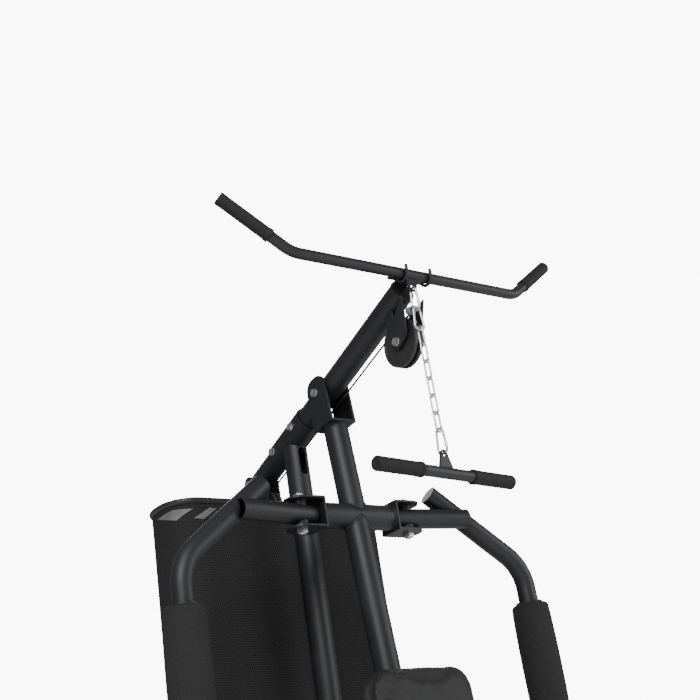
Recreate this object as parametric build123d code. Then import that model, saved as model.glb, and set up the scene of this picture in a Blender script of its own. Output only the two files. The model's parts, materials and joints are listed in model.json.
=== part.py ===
from build123d import *
from math import acos, asin, atan2, cos, degrees, hypot, pi, radians, sin, sqrt, tan
import os

# Free-standing home gym, in millimetres. -Y is the front, +Z is up, and left and right are
# as seen from the front. The functions below work from a point on the floor straight below
# the middle of the crossbeam; the finished pieces are moved so that the origin is on the
# floor at the middle of the base.

# overall sizes
beam_height = 1620.0        # crossbeam axis above the floor
front_reach = 850.0         # front foot axis ahead of the crossbeam
rear_reach = 560.0          # rear foot axis behind the crossbeam
post_d = 60.3               # main tubes
arm_d = 48.3                # swinging arm tubes
tube_wall = 2.6
weld_gap = 0.2              # gap between two pieces that only meet
slide = 0.05                # radial clearance of a running fit
rail_height = 45.0          # base tube axes above the floor
front_foot_half = 260.0
rear_foot_half = 350.0

# uprights
lean = 5.27                 # lean of the main upright and the upper post, degrees
rear_post_y = 204.0
slot_width = 20.0
slot_low = 166.0            # cable slot in the rear post, above the crossbeam axis
slot_high = 237.0

# boom
boom_slope = 18.7           # degrees above the horizontal, rising to the front
boom_rise = 337.0           # boom axis above the crossbeam axis, at y = 0
boom_front = 322.0          # along the boom, from y = 0
boom_joint = -214.0
boom_back = -468.0
sleeve_d = 70.0
sleeve_front = -132.0
sleeve_back = -287.0
saddle_wide = 75.0
saddle_plate = 6.0
saddle_low = 233.0          # along the leaning post, above the crossbeam axis
saddle_high = 364.0
saddle_bolt_y = 36.0

# crossbeam and hinges
beam_half = 101.0
hinge_x = 152.0
clevis_plate = 5.0
clevis_half = 36.0
clevis_gap = 31.0
clevis_wide = 70.0
hinge_pin_d = 16.0

# swinging arms, measured outwards from the hinge pin
slant_back = 19.0           # the slanted tube lies this far behind the level stub
arm_turn = 7.0              # arms at rest point this far forward, degrees
stub_inner = 36.0
slant_top = (87.7, 67.8)
arm_knee = (330.0, -122.0)
arm_foot = -560.0
knee_radius = 110.0
arm_pad_d = 95.0
arm_pad_top = -215.0
arm_pad_length = 270.0
handle_drop = -525.0
handle_length = 165.0
handle_r = 12.7
arm_grip_length = 125.0
barrel_r = 17.0
collar_thick = 5.0

# pulleys and cable
wheel_y = -280.0
wheel_z = 323.0             # above the crossbeam axis
wheel_r = 58.0
wheel_wide = 24.0
wheel_groove = 46.0         # radius of the cable's axis on the wheel
guide_y = 350.0
guide_z = 130.0
guide_r = 45.0
guide_wide = 22.0
guide_groove = 36.0
recess_rim = 7.0
recess_hub = 13.0
recess_deep = 1.5
bolt_d = 10.0
bracket_plate = 4.0
cheek_tip = 18.0            # radius of the front pulley's side plate round the bolt
cheek_fold = 12.0           # the side plate's front flange is folded out by this, degrees
# side plate's corners as y and height above the crossbeam axis: rear top, fold's top and
# bottom, front knee, front top
cheek_points = ((-250.0, 395.0), (-280.5, 378.0), (-304.0, 325.0), (-323.0, 326.0), (-340.0, 412.0))
guide_cheek_half = 26.0
guide_cheek_top = 70.0
bracket_gap = 16.0
cable_d = 5.0
ball_r = 10.0
ball_at = (-9.0, -330.0, 379.0)

# lat bar, stored in its two hooks
bar_d = 25.4
bar_wall = 2.5
bar_x = -12.0
bar_y = -357.0
bar_z = 457.0
bar_half = 320.0
bar_end_out = 150.0
bar_end_up = 112.0
bar_tilt = 10.5             # the bar's ends lean back by this, degrees
bar_bend = 60.0
bar_grip_d = 31.0
bar_grip_length = 132.0
grip_end = 4.0              # thickness of a grip's closed end
hook_rod = 8.0
hook_space = 69.0
hook_tip = 14.0
hook_play = 0.8
shelf_wide = 98.0
shelf_deep = 20.0
shelf_tongue = 40.0
shelf_thick = 5.0
tab_thick = 5.0
tab_hole_r = 6.0
tab_drop = 30.0
tab_top = 36.0              # width of the lat bar's tab where it meets the bar

# hanging chain and short bar
carabiner_wire = 6.0
carabiner_pitch = 54.0      # between the wire axes of its two ends
carabiner_half = 11.0
link_wire = 5.0
link_pitch = 40.8
link_count = 6
link_half = 7.5
hang_gap = 0.4
short_turn = 7.3            # the short bar hangs turned by this much, degrees
short_half = 206.0
short_d = 25.4
short_grip_d = 33.0
short_grip_length = 132.0
short_tab = 43.0            # tab hole above the short bar's axis

# weight stack
stack_y = guide_y + guide_groove
rod_x = 110.0
rod_d = 20.0
plate_size = (300.0, 110.0, 27.0)
plate_pitch = 27.5
plate_low = 108.0
fixed_plates = 7
lifted_plates = 4
stem_d = 25.0
stem_bore = 30.0
pin_d = 10.0
tray_thick = 8.0
bridge_z = 60.0             # underside of the rod bridge above the crossbeam axis
cover_half = 317.0
cover_front = 281.0
cover_back = 458.0
cover_corner = 79.0
cover_door_half = 165.0     # opening at the back, in front of the selector pin
cover_door_top = 1230.0
cover_top = 113.0           # above the crossbeam axis
cover_wall = 4.0
rim_r = 8.0

# seat, backrest and leg lever
seat_z = 440.0              # underside of the seat pad
seat_front = -590.0
seat_back = -200.0
seat_half = 185.0
seat_thick = 60.0
seat_tube_z = 400.0
front_post_y = -470.0
back_low = 560.0
back_high = 1240.0
back_half = 140.0
back_thick = 55.0
back_gap = 42.0             # from the upright's surface to the pad
lever_y = -612.0
lever_length = 260.0
roller_d = 90.0
roller_length = 160.0
roller_gap = 32.0
axle_d = 20.0
upper_axle = (-655.0, 458.0)

low = (Align.CENTER, Align.CENTER, Align.MIN)
post_r = post_d / 2
arm_r = arm_d / 2


def rod(start, end, radius):
    start, end = Vector(start), Vector(end)
    return Plane(origin=start, z_dir=end - start) * Cylinder(radius, (end - start).length, align=low)


def tube(start, end, outer, wall):
    return rod(start, end, outer / 2) - rod(start, end, outer / 2 - wall)


def block(x0, x1, y0, y1, z0, z1):
    middle = ((x0 + x1) / 2, (y0 + y1) / 2, (z0 + z1) / 2)
    return Pos(*middle) * Box(x1 - x0, y1 - y0, z1 - z0)


def above(z):
    return beam_height + z


def bolt(place, length, diameter, head_across, thick):
    """Hexagon bolt along X, centred on a place, with its head at -X and its nut at +X."""
    x, y, z = place
    half = length / 2
    body = rod((x - half, y, z), (x + half + thick * 1.2, y, z), diameter / 2)
    for side, depth in ((-1, thick), (1, thick)):
        face = Plane(origin=(x + side * half, y, z), x_dir=(0, 1, 0), z_dir=(side, 0, 0))
        body += face * extrude(RegularPolygon(head_across / 2, 6, major_radius=False), depth)
        body += face * Cylinder(head_across * 0.62, 1.6, align=low)
    return body


def group(pieces):
    return Compound(children=list(pieces))


def ring_link(centre, turn, pitch, half, wire):
    """Closed oval loop of round wire in a vertical plane, turned about Z by the given degrees."""
    c, s = cos(radians(turn)), sin(radians(turn))
    plane = Plane(origin=centre, x_dir=(c, s, 0), z_dir=(s, -c, 0))
    path = (plane * SlotCenterToCenter(pitch - 2 * half, 2 * half, rotation=90)).wire()
    section = Plane(origin=path.position_at(0), z_dir=path.tangent_at(0)) * Circle(wire / 2)
    return sweep(section, path=path)


# frames and solids that several pieces share
boom_c = cos(radians(boom_slope))
boom_s = sin(radians(boom_slope))
boom_frame = Plane(origin=(0, 0, beam_height + boom_rise), x_dir=(1, 0, 0), z_dir=(0, -boom_c, boom_s))
lean_frame = Plane(origin=(0, 0, beam_height), x_dir=(1, 0, 0),
                   z_dir=(0, sin(radians(lean)), cos(radians(lean))))
rail_start = (0, -front_reach, rail_height)
rail_end = (0, rear_reach, rail_height)


def on_boom(along, out=0.0, x=0.0):
    """Point in the boom's own frame: distance along it, above its axis, and across."""
    return tuple(boom_frame.from_local_coords((x, out, along)))


def boom_height(y):
    return above(boom_rise) - y * tan(radians(boom_slope))


def boom_along(y):
    return -y / boom_c


def upright_y(z):
    return (z - beam_height) * tan(radians(lean))


def rail_cut():
    return rod(rail_start, rail_end, post_r + weld_gap)


def beam_cut():
    return rod((-beam_half, 0, beam_height), (beam_half, 0, beam_height), post_r + weld_gap)


def upright_cut():
    return rod((0, upright_y(0), 0), (0, 0, beam_height), post_r + weld_gap)


def boom_cut(radius):
    return rod(on_boom(boom_back - 60), on_boom(boom_front + 60), radius)


# base
def base_rail():
    rail = tube(rail_start, rail_end, post_d, tube_wall)
    for y in (-front_reach, rear_reach):
        rail -= rod((-100, y, rail_height), (100, y, rail_height), post_r + weld_gap)
    return rail


def foot_tube(y, half):
    return tube((-half, y, rail_height), (half, y, rail_height), post_d, tube_wall)


def rubber_feet():
    feet = []
    for y, half in ((-front_reach, front_foot_half), (rear_reach, rear_foot_half)):
        for side in (-1, 1):
            x = side * (half - 45)
            pad = block(x - 28, x + 28, y - 38, y + 38, 0, rail_height - 8)
            pad = fillet(pad.edges().filter_by(Axis.Z), 8)
            feet.append(pad - rod((x - 60, y, rail_height), (x + 60, y, rail_height), post_r + weld_gap))
    return group(feet)


def tube_caps():
    caps = []
    for y, half in ((-front_reach, front_foot_half), (rear_reach, rear_foot_half)):
        for side in (-1, 1):
            start = (side * (half + weld_gap), y, rail_height)
            caps.append(rod(start, (side * (half + 5), y, rail_height), post_r))
    caps.append(rod(on_boom(boom_back - weld_gap), on_boom(boom_back - 5), post_r))
    caps.append(rod(on_boom(boom_front + weld_gap), on_boom(boom_front + 4), post_r))
    return group(caps)


# uprights and crossbeam
def main_upright():
    post = tube((0, upright_y(rail_height), rail_height), (0, 0, beam_height), post_d, tube_wall)
    return post - rail_cut() - beam_cut()


def crossbeam():
    return tube((-beam_half, 0, beam_height), (beam_half, 0, beam_height), post_d, tube_wall)


def upper_post():
    top = saddle_low - weld_gap
    post = lean_frame * (Cylinder(post_r, top, align=low) - Cylinder(post_r - tube_wall, top, align=low))
    return post - beam_cut()


def rear_post():
    top = boom_height(rear_post_y)
    post = tube((0, rear_post_y, rail_height), (0, rear_post_y, top), post_d, tube_wall)
    post -= rail_cut()
    post -= rod(on_boom(sleeve_back - 60), on_boom(sleeve_front + 60), sleeve_d / 2 + weld_gap)
    middle = above((slot_low + slot_high) / 2)
    straight = slot_high - slot_low - slot_width
    slot = Plane(origin=(0, rear_post_y, middle), x_dir=(1, 0, 0), z_dir=(0, -1, 0))
    shape = SlotCenterToCenter(straight, slot_width, rotation=90)
    return post - slot * extrude(shape, post_d, both=True)


def clevis(side):
    web = block(beam_half + weld_gap, beam_half + clevis_plate, -clevis_wide / 2, clevis_wide / 2,
                -clevis_half, clevis_half)
    for z in (clevis_gap, -clevis_half):
        ear = block(beam_half + weld_gap, hinge_x, -clevis_wide / 2, clevis_wide / 2,
                    z, z + clevis_half - clevis_gap)
        ear += Pos(hinge_x, 0, z) * Cylinder(clevis_wide / 2, clevis_half - clevis_gap, align=low)
        web += ear
    web -= Pos(hinge_x, 0, 0) * Cylinder(hinge_pin_d / 2 + slide, 200)
    web = Pos(0, 0, beam_height) * web
    return web if side > 0 else mirror(web, about=Plane.YZ)


def hinge_bolts():
    """Bolts of the two arm hinges, upright, and of the leg lever's hinge, level."""
    bolts = []
    for side in (-1, 1):
        x = side * hinge_x
        pin = rod((x, 0, above(-clevis_half - 12)), (x, 0, above(clevis_half + 12)), hinge_pin_d / 2)
        head = Pos(x, 0, above(clevis_half)) * extrude(RegularPolygon(12, 6, major_radius=False), 9)
        nut = Pos(x, 0, above(-clevis_half - 9)) * extrude(RegularPolygon(12, 6, major_radius=False), 9)
        bolts.append(pin + head + nut)
    bolts.append(bolt((0, lever_y, seat_tube_z), 68.4, hinge_pin_d, 24, 9))
    return group(bolts)


def hinge_washers():
    """Thrust washers that fill the clevis above and below each arm's barrel."""
    thick = clevis_gap - arm_r - 2 * hang_gap
    washers = []
    for side in (-1, 1):
        for z in (arm_r + hang_gap, -arm_r - hang_gap - thick):
            ring = Cylinder(18, thick, align=low) - Cylinder(hinge_pin_d / 2 + slide, thick, align=low)
            washers.append(Pos(side * hinge_x, 0, above(z)) * ring)
    return group(washers)


# boom and what holds it
def boom():
    return tube(on_boom(boom_joint + weld_gap), on_boom(boom_front), post_d, tube_wall)


def boom_tail():
    return tube(on_boom(boom_back), on_boom(boom_joint - weld_gap), post_d, tube_wall)


def boom_sleeve():
    outer = rod(on_boom(sleeve_back), on_boom(sleeve_front), sleeve_d / 2)
    return outer - rod(on_boom(sleeve_back), on_boom(sleeve_front), post_r + weld_gap)


def boom_saddle():
    """U bracket on the upper post: a base plate and two rounded side plates beside the boom."""
    inner = post_r + weld_gap
    outer = inner + saddle_plate
    half = saddle_wide / 2
    base = block(-outer, outer, -half, half, saddle_low, saddle_low + saddle_plate)
    for side in (-1, 1):
        cheek = block(min(side * inner, side * outer), max(side * inner, side * outer),
                      -half, half, saddle_low, saddle_high)
        base += fillet(cheek.edges().filter_by(Axis.X).sort_by(Axis.Z)[-2:], 30)
    place = (0, saddle_bolt_y, boom_height(saddle_bolt_y))
    return lean_frame * base - rod((-60, *place[1:]), (60, *place[1:]), bolt_d / 2 + slide)


def boom_bolts():
    """Through bolts of the saddle, the sleeve and the guide rod bridge."""
    inner = post_r + weld_gap
    bolts = [bolt((0, saddle_bolt_y, boom_height(saddle_bolt_y)), 2 * (inner + saddle_plate), bolt_d, 17, 7)]
    for along in (sleeve_front - 36, sleeve_back + 18):
        bolts.append(bolt(on_boom(along), sleeve_d, bolt_d, 17, 7))
    bolts.append(bolt((0, stack_y, boom_height(stack_y)), 2 * (inner + clevis_plate), bolt_d, 17, 7))
    return group(bolts)


def drill(piece, place):
    return piece - rod((-60, *place[1:]), (60, *place[1:]), bolt_d / 2 + slide)


def drilled_boom():
    return drill(boom(), (0, saddle_bolt_y, boom_height(saddle_bolt_y)))


def drilled_sleeved(piece):
    for along in (sleeve_front - 36, sleeve_back + 18):
        piece = drill(piece, on_boom(along))
    return piece


def hook_plate():
    """Strip across the boom's end with two J hooks of round rod that cradle the lat bar."""
    reach = hook_rod / 2 + bar_d / 2 + hook_play
    shelf_z = above(bar_z) + 2
    front = bar_y + reach
    root = on_boom(boom_front, post_r)[1]
    strip = block(-shelf_wide / 2, shelf_wide / 2, front, front + shelf_deep, shelf_z, shelf_z + shelf_thick)
    strip += block(-shelf_tongue / 2, shelf_tongue / 2, front, root, shelf_z, shelf_z + shelf_thick)
    strip -= rod(on_boom(0), on_boom(boom_front + 4 + weld_gap), post_r + weld_gap)
    for side in (-1, 1):
        x = side * hook_space / 2
        across = Plane(origin=(x, bar_y, above(bar_z)), x_dir=(0, 1, 0), z_dir=(1, 0, 0))
        cradle = CenterArc((0, 0), reach, 8, -188)
        tip = Line((-reach, 0), (-reach, hook_tip))
        path = across * Wire([cradle, tip])
        section = Plane(origin=path.position_at(0), z_dir=path.tangent_at(0)) * Circle(hook_rod / 2)
        strip += sweep(section, path=path)
    return strip


# pulleys
def wheel(y, z, radius, wide, groove):
    """Grooved pulley on an axis along X; groove is the radius of the cable's axis."""
    bottom = groove - cable_d / 2 - weld_gap
    half = wide / 2
    lip = cable_d * 0.9
    bore = bolt_d / 2 + slide
    outline = Polyline((bore, -half), (radius, -half), (radius, -lip), (bottom, -cable_d / 2),
                       (bottom, cable_d / 2), (radius, lip), (radius, half), (bore, half), close=True)
    disc = revolve(make_face(outline), Axis.Y)
    for side in (-1, 1):
        recess = Cylinder(radius - recess_rim, 2 * recess_deep) - Cylinder(recess_hub, 2 * recess_deep)
        disc -= Pos(0, side * half, 0) * Rot(90, 0, 0) * recess
    return Pos(0, y, above(z)) * Rot(0, 0, 90) * disc


def yz_face(points):
    """Face through points given as y and height above the crossbeam axis, in the plane x = 0."""
    plane = Plane(origin=(0, 0, beam_height), x_dir=(0, 1, 0), z_dir=(1, 0, 0))
    return plane * make_face(Polyline(*points, close=True))


def wheel_cheek():
    """Side plate of the front pulley: a flat part round the bolt and a flange folded outwards."""
    rear_top, fold_top, fold_low, knee, front_top = cheek_points
    left = bracket_gap
    flat = yz_face([rear_top, (fold_top[0], fold_top[1] + 26), fold_top, fold_low, knee,
                    (wheel_y, wheel_z - cheek_tip), (wheel_y + cheek_tip, wheel_z)])
    plate = Pos(left, 0, 0) * extrude(flat, bracket_plate, dir=(1, 0, 0))
    plate += rod((left, wheel_y, above(wheel_z)), (left + bracket_plate, wheel_y, above(wheel_z)), cheek_tip)
    flange = Pos(left, 0, 0) * extrude(yz_face([fold_top, fold_low, knee, front_top]), bracket_plate, dir=(1, 0, 0))
    hinge = Axis((left, fold_low[0], above(fold_low[1])),
                 (0, fold_top[0] - fold_low[0], fold_top[1] - fold_low[1]))
    return plate + flange.rotate(hinge, cheek_fold)


def guide_cheek():
    """Side plate of the rear pulley, rounded below and spreading up to the boom's tail."""
    plane = Plane(origin=(bracket_gap, guide_y, above(guide_z)), x_dir=(0, 1, 0), z_dir=(1, 0, 0))
    upper = Pos(0, guide_cheek_top - 30) * Rectangle(2 * guide_cheek_half, 60)
    return extrude(plane * make_hull([*Circle(18).edges(), *upper.edges()]), bracket_plate)


def pulley_brackets():
    """Two side plates for each pulley, shaped to the boom's underside."""
    plates = []
    for cheek, y, z in ((wheel_cheek(), wheel_y, wheel_z), (guide_cheek(), guide_y, guide_z)):
        cheek -= boom_cut(post_r + weld_gap)
        cheek -= rod((-60, y, above(z)), (60, y, above(z)), bolt_d / 2 + slide)
        plates += [cheek, mirror(cheek, about=Plane.YZ)]
    return group(plates)


def pulley_bolts():
    """Each pulley's bolt, with a spacer on each side of the wheel."""
    pieces = []
    for y, z, wide in ((wheel_y, wheel_z, wheel_wide), (guide_y, guide_z, guide_wide)):
        pieces.append(bolt((0, y, above(z)), 2 * (bracket_gap + bracket_plate), bolt_d, 17, 7))
        for side in (-1, 1):
            start = side * (wide / 2 + hang_gap)
            end = side * (bracket_gap - weld_gap)
            ring = rod((start, y, above(z)), (end, y, above(z)), 9)
            pieces.append(ring - rod((-60, y, above(z)), (60, y, above(z)), bolt_d / 2 + slide))
    return group(pieces)


# cable
def cable_line():
    """Angle below the horizontal of the straight run between the pulleys, in radians."""
    dy, dz = guide_y - wheel_y, guide_z - wheel_z
    return atan2(-dz, dy) - asin((wheel_groove - guide_groove) / hypot(dy, dz))


def cable_path():
    """From the cable's ball, over the front pulley, along the boom and over the guide pulley."""
    fall = cable_line()
    side = Plane(origin=(0, 0, beam_height), x_dir=(0, 1, 0), z_dir=(1, 0, 0))
    reach = hypot(ball_at[1] - wheel_y, ball_at[2] - wheel_z)
    towards = atan2(ball_at[2] - wheel_z, ball_at[1] - wheel_y)
    touch = towards - acos(wheel_groove / reach)
    leave = pi / 2 - fall
    run = sqrt(reach ** 2 - wheel_groove ** 2) - ball_r - weld_gap
    start = (wheel_y + wheel_groove * cos(touch), wheel_z + wheel_groove * sin(touch))
    ball_end = (start[0] - run * sin(touch), start[1] + run * cos(touch))
    over = CenterArc((wheel_y, wheel_z), wheel_groove, degrees(touch), degrees(leave - touch))
    guide = CenterArc((guide_y, guide_z), guide_groove, degrees(leave), -degrees(leave))
    straight = Line(over @ 1, guide @ 0)
    return side * Wire([Line(ball_end, start), over, straight, guide])


def lat_cable():
    path = cable_path()
    section = Plane(origin=path.position_at(0), z_dir=path.tangent_at(0)) * Circle(cable_d / 2)
    return sweep(section, path=path)


def stack_cable():
    return rod((0, stack_y, above(guide_z) - weld_gap), (0, stack_y, stem_top() + weld_gap), cable_d / 2)


def cable_end():
    """Rubber stop ball with the cable's eye, round the upper carabiner's rear leg."""
    x, y, z = ball_at
    ball = Pos(x, y, above(z)) * Sphere(ball_r)
    leg_y = bar_y + carabiner_half
    ball += Pos(bar_x, leg_y, above(z)) * Cylinder(carabiner_wire / 2 + 4.6, 4)
    return ball - Pos(bar_x, leg_y, above(z)) * Cylinder(carabiner_wire / 2 + 2.5, 40)


# lat bar, chain and short bar
def bar_tip(side):
    """Centre of the lat bar's end face."""
    tilt = radians(bar_tilt)
    return (bar_x + side * (bar_half + bar_end_out), bar_y + bar_end_up * sin(tilt),
            above(bar_z) + bar_end_up * cos(tilt))


def lat_bar():
    path = FilletPolyline(bar_tip(-1), (bar_x - bar_half, bar_y, above(bar_z)),
                          (bar_x + bar_half, bar_y, above(bar_z)), bar_tip(1), radius=bar_bend)
    start = Plane(origin=path.position_at(0), z_dir=path.tangent_at(0))
    bar = sweep(start * Circle(bar_d / 2), path=path) - sweep(start * Circle(bar_d / 2 - bar_wall), path=path)
    low_z = -bar_d / 2 - tab_drop
    face = Plane(origin=(bar_x, bar_y, above(bar_z)), x_dir=(1, 0, 0), z_dir=(0, -1, 0))
    shape = make_hull([*(Pos(0, low_z + tab_hole_r + 5) * Circle(tab_hole_r + 5)).edges(),
                       *(Pos(0, -bar_d / 2 + 3) * Rectangle(tab_top, 4)).edges()])
    tab = face * extrude(shape, tab_thick / 2, both=True)
    tab -= rod((bar_x, bar_y - 20, hole_z()), (bar_x, bar_y + 20, hole_z()), tab_hole_r)
    tab -= rod((bar_x - 100, bar_y, above(bar_z)), (bar_x + 100, bar_y, above(bar_z)), bar_d / 2 - bar_wall)
    return bar + tab


def hole_z():
    return above(bar_z) - bar_d / 2 - tab_drop + tab_hole_r + 5


def lat_bar_grips():
    grips = []
    for side in (-1, 1):
        tip = Vector(bar_tip(side))
        way = (tip - Vector(bar_x + side * bar_half, bar_y, above(bar_z))).normalized()
        grip = rod(tip - way * bar_grip_length, tip + way * grip_end, bar_grip_d / 2)
        grip = fillet(grip.edges().filter_by(GeomType.CIRCLE), 2)
        grips.append(grip - rod(tip - way * (bar_grip_length + 5), tip + way * weld_gap, bar_d / 2 + weld_gap))
    return group(grips)


def wire_z():
    """Heights of the wire axes down the hanging chain, from the upper carabiner's top."""
    upper_top = hole_z() - tab_hole_r + carabiner_wire / 2 + hang_gap
    upper_low = upper_top - carabiner_pitch
    lower_top = upper_low + carabiner_wire + hang_gap
    lower_low = lower_top - carabiner_pitch
    link_top = lower_low + (carabiner_wire + link_wire) / 2 + hang_gap
    step = link_pitch
    last_low = link_top - (link_count - 1) * step - (step + link_wire + hang_gap)
    snap_top = last_low + (carabiner_wire + link_wire) / 2 + hang_gap
    return upper_top, upper_low, lower_top, lower_low, link_top, last_low, snap_top, snap_top - carabiner_pitch


def loop(top, low_end, turn, half, wire):
    return ring_link((bar_x, bar_y, (top + low_end) / 2), turn, top - low_end, half, wire)


def upper_carabiner():
    upper_top, upper_low = wire_z()[:2]
    return loop(upper_top, upper_low, 90, carabiner_half, carabiner_wire)


def chain_carabiners():
    heights = wire_z()
    lower = loop(heights[2], heights[3], 0, carabiner_half, carabiner_wire)
    snap = loop(heights[6], heights[7], 90 + short_turn, carabiner_half, carabiner_wire)
    return group([lower, snap])


def chain():
    top = wire_z()[4]
    links = []
    for number in range(link_count):
        link_top = top - number * link_pitch
        turn = 90 * ((number + 1) % 2) + short_turn * number / link_count
        links.append(loop(link_top, link_top - link_pitch - link_wire - hang_gap, turn, link_half, link_wire))
    return group(links)


def short_frame():
    """Frame at the short bar's middle: x along the bar, y up its tab, z through the tab."""
    hole = wire_z()[7] - tab_hole_r + carabiner_wire / 2 + hang_gap
    c, s = cos(radians(short_turn)), sin(radians(short_turn))
    return Plane(origin=(bar_x, bar_y, hole - short_tab), x_dir=(c, s, 0), z_dir=(s, -c, 0))


def short_bar():
    frame = short_frame()
    along = Rot(0, 90, 0)
    bar = along * (Cylinder(short_d / 2, 2 * short_half) - Cylinder(short_d / 2 - bar_wall, 2 * short_half))
    shape = make_hull([*(Pos(0, short_tab) * Circle(tab_hole_r + 4)).edges(),
                       *(Pos(0, short_d / 2 - 2) * Rectangle(42, 2)).edges()])
    tab = extrude(shape, tab_thick / 2, both=True) - Pos(0, short_tab, 0) * Cylinder(tab_hole_r, 40)
    tab -= along * Cylinder(short_d / 2 - bar_wall, 2 * short_half)
    return frame * (bar + tab)


def short_bar_grips():
    frame = short_frame()
    grips = []
    for side in (-1, 1):
        middle = side * (short_half + grip_end - short_grip_length / 2)
        grip = Rot(0, 90, 0) * Cylinder(short_grip_d / 2, short_grip_length)
        grip = fillet(grip.edges().filter_by(GeomType.CIRCLE), 2)
        hollow = Rot(0, 90, 0) * Cylinder(short_d / 2 + weld_gap, 2 * short_half + 2 * weld_gap)
        grips.append(frame * (Pos(middle, 0, 0) * grip - hollow))
    return group(grips)


# swinging arms
def arm_frame():
    c, s = cos(radians(arm_turn)), sin(radians(arm_turn))
    return Plane(origin=(hinge_x, 0, beam_height), x_dir=(c, -s, 0), z_dir=(0, 0, 1))


def both_sides(piece, side):
    placed = arm_frame() * piece
    return placed if side > 0 else mirror(placed, about=Plane.YZ)


def arm(side):
    """Barrel on the hinge pin, level stub, slanted tube bent down to the pad, and the handle."""
    slant = (arm_knee[1] - slant_top[1]) / (arm_knee[0] - slant_top[0])
    stub_end = slant_top[0] - slant_top[1] / slant
    path = FilletPolyline((slant_top[0], slant_back, slant_top[1]), (arm_knee[0], slant_back, arm_knee[1]),
                          (arm_knee[0], slant_back, arm_foot), radius=knee_radius)
    start = Plane(origin=path.position_at(0), z_dir=path.tangent_at(0))
    end = Plane(origin=path.position_at(1), z_dir=path.tangent_at(1))
    inner = arm_r - tube_wall
    piece = rod((-stub_inner, 0, 0), (stub_end, 0, 0), arm_r) + sweep(start * Circle(arm_r), path=path)
    piece -= rod((-stub_inner - 1, 0, 0), (stub_end, 0, 0), inner)
    piece -= sweep(start * Circle(inner), path=path)
    piece += Cylinder(barrel_r, 2 * arm_r)
    piece -= Cylinder(hinge_pin_d / 2 + slide, 4 * arm_r)
    piece += start * Cylinder(arm_r, 4, align=low)
    piece += end * Cylinder(arm_r, 4, align=(Align.CENTER, Align.CENTER, Align.MAX))
    for z in (arm_pad_top - arm_pad_length - hang_gap - collar_thick, arm_pad_top + hang_gap):
        collar = Cylinder(arm_r + 8, collar_thick, align=low) - Cylinder(inner, collar_thick, align=low)
        piece += Pos(arm_knee[0], slant_back, z) * collar
    return both_sides(piece + rod(handle_point(arm_r - 1), handle_point(arm_r + handle_length), handle_r), side)


def handle_point(out):
    """Point on the handle's axis, measured forwards from the axis of the tube that carries it."""
    return (arm_knee[0], slant_back - out, handle_drop)


def arm_grip(side):
    end = arm_r + handle_length
    grip = rod(handle_point(end - arm_grip_length), handle_point(end + grip_end), handle_r + 4)
    grip = fillet(grip.edges().filter_by(GeomType.CIRCLE), 2)
    hollow = rod(handle_point(0), handle_point(end + weld_gap), handle_r + weld_gap)
    return both_sides(grip - hollow, side)


def arm_pad(side):
    top = (Align.CENTER, Align.CENTER, Align.MAX)
    pad = Cylinder(arm_pad_d / 2, arm_pad_length, align=top)
    pad = fillet(pad.edges().filter_by(GeomType.CIRCLE), 6)
    pad -= Cylinder(arm_r + slide, arm_pad_length, align=top)
    return both_sides(Pos(arm_knee[0], slant_back, arm_pad_top) * pad, side)


# weight stack
def lifted_low():
    return plate_low + fixed_plates * plate_pitch


def lifted_top():
    return lifted_low() + lifted_plates * plate_pitch


def stem_top():
    return lifted_top() + 62


def stack_tray():
    half = cover_half + 6
    tray_z = rail_height + post_r + weld_gap
    return block(-half, half, cover_front - 8, cover_back + 8, tray_z, tray_z + tray_thick)


def tray_top():
    return rail_height + post_r + weld_gap + tray_thick


def on_rods(make):
    return group([Pos(side * rod_x, stack_y, 0) * make() for side in (-1, 1)])


def guide_rods():
    bottom = tray_top() + weld_gap
    top = above(bridge_z) + 8
    return on_rods(lambda: Pos(0, 0, bottom) * Cylinder(rod_d / 2, top - bottom, align=low))


def stack_bumpers():
    bottom = tray_top() + weld_gap
    tall = plate_low - weld_gap - bottom

    def bumper():
        ring = Cylinder(24, tall, align=low) - Cylinder(rod_d / 2 + weld_gap, tall, align=low)
        return Pos(0, 0, bottom) * ring
    return on_rods(bumper)


def plate(bottom):
    wide, deep, tall = plate_size
    slab = Pos(0, 0, bottom) * Box(wide, deep, tall, align=low)
    slab = fillet(slab.edges().filter_by(Axis.Z), 8)
    slab -= Pos(0, 0, bottom) * Cylinder(stem_bore / 2, tall, align=low)
    for side in (-1, 1):
        slab -= Pos(side * rod_x, 0, bottom) * Cylinder(rod_d / 2 + 2, tall, align=low)
    middle = bottom + tall / 2
    slab -= rod((0, 0, middle), (0, deep, middle), pin_d / 2 + 2 * slide)
    return Pos(0, stack_y, 0) * slab


def weight_plates_fixed():
    return group([plate(plate_low + number * plate_pitch) for number in range(fixed_plates)])


def weight_plates_lifted():
    return group([plate(lifted_low() + number * plate_pitch) for number in range(lifted_plates)])


def head_plate():
    """Top plate with two long guide bushes on the rods."""
    wide, deep, tall = plate_size
    bottom = lifted_top()
    slab = Box(wide, deep, 24, align=low)
    slab = fillet(slab.edges().filter_by(Axis.Z), 8)
    for side in (-1, 1):
        slab += Pos(side * rod_x, 0, 24) * Cylinder(19, 30, align=low)
        slab -= Pos(side * rod_x, 0, 0) * Cylinder(rod_d / 2 + slide, 60, align=low)
    slab -= Cylinder(stem_d / 2 + weld_gap, 24, align=low)
    return Pos(0, stack_y, bottom) * slab


def selector_stem():
    bottom = plate_low + 4
    stem = Pos(0, 0, bottom) * Cylinder(stem_d / 2, stem_top() - bottom, align=low)
    collar_z = lifted_top() + 24 + weld_gap
    stem += Pos(0, 0, collar_z) * Cylinder(19, 10, align=low)
    for number in range(fixed_plates + lifted_plates):
        middle = plate_low + number * plate_pitch + plate_size[2] / 2
        stem -= rod((0, -40, middle), (0, 40, middle), pin_d / 2 + 2 * slide)
    return Pos(0, stack_y, 0) * stem


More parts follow.
